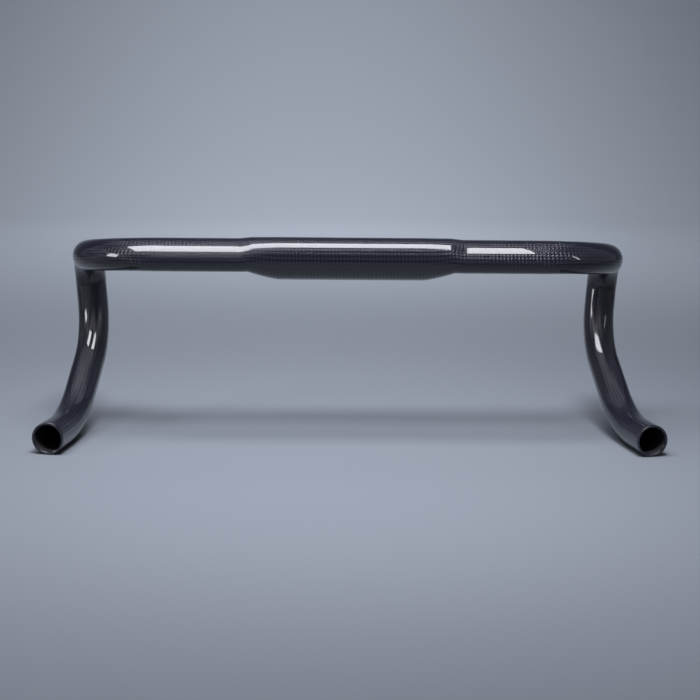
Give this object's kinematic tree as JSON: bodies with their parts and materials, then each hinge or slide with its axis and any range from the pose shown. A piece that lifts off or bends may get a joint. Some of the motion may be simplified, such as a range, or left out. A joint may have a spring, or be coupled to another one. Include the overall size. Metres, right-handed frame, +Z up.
{
  "type": "bicycle handlebar",
  "caption": "Drop handlebar for a road bicycle: a hollow gloss-black carbon tube with an oversize round seat for the stem, oval tops, hooks that flare outward and open drop ends.",
  "frame": {"origin": "centre of the stem clamp seat, on its axis", "axes": "+X to the rider's right along the top tube, +Y forward, +Z up with the drop ends level"},
  "size_m": [0.4632, 0.1514, 0.1524],
  "materials": {
    "carbon": "gloss clear coat over a black carbon-fibre weave"
  },
  "bodies": {
    "root": {"handlebar": "carbon"}
  },
  "joints": []
}
